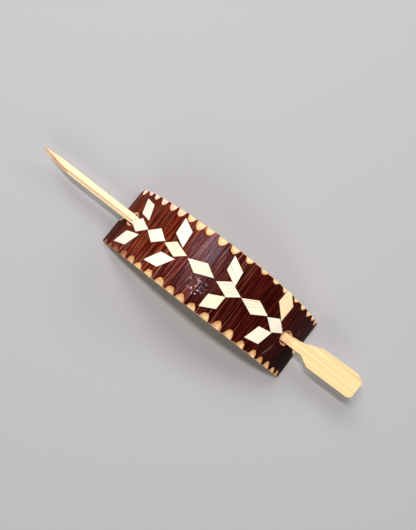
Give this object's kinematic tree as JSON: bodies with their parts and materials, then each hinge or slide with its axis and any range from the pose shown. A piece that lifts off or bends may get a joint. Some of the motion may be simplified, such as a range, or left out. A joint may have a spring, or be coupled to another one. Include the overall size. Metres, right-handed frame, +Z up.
{
  "type": "hair barrette",
  "caption": "Arched bamboo hair barrette with gouged edges and inlaid diamonds, closed by a carved stick that slides through a hole near each end.",
  "frame": {"origin": "on the table plane, midway between the plate's two ends and its two long edges, under the crown of the arch", "axes": "+X along the plate towards the stick's paddle, +Y across the plate (the way the hair passes through), +Z up from the table to the crown"},
  "size_m": [0.1682, 0.03, 0.0311],
  "materials": {
    "stained_bamboo": "culm skin stained dark red-brown and varnished, with streaks along the fibres; bare tan bamboo in the gouge cuts, the hole rings, the sides and the hollow face",
    "split_bamboo": "bare split bamboo, satin, with fine fibre lines along the stick",
    "straw_veneer": "pale cream straw veneer, satin, with faint fibre lines"
  },
  "bodies": {
    "arch": {"arched_plate": "stained_bamboo", "inlay_middle_1": "straw_veneer", "inlay_middle_2": "straw_veneer", "inlay_middle_3": "straw_veneer", "inlay_middle_4": "straw_veneer", "inlay_middle_5": "straw_veneer", "inlay_middle_6": "straw_veneer", "inlay_middle_7": "straw_veneer", "inlay_back_1": "straw_veneer", "inlay_back_2": "straw_veneer", "inlay_back_3": "straw_veneer", "inlay_back_4": "straw_veneer", "inlay_front_1": "straw_veneer", "inlay_front_2": "straw_veneer", "inlay_front_3": "straw_veneer", "inlay_front_4": "straw_veneer"},
    "stick": {"hair_stick": "split_bamboo"}
  },
  "joints": [
    {"name": "stick_slide", "type": "slide", "parent": "arch", "child": "stick", "axis": [0.9993, -0.0048, 0.0366], "range_m": [-0.001, 0.136]}
  ]
}
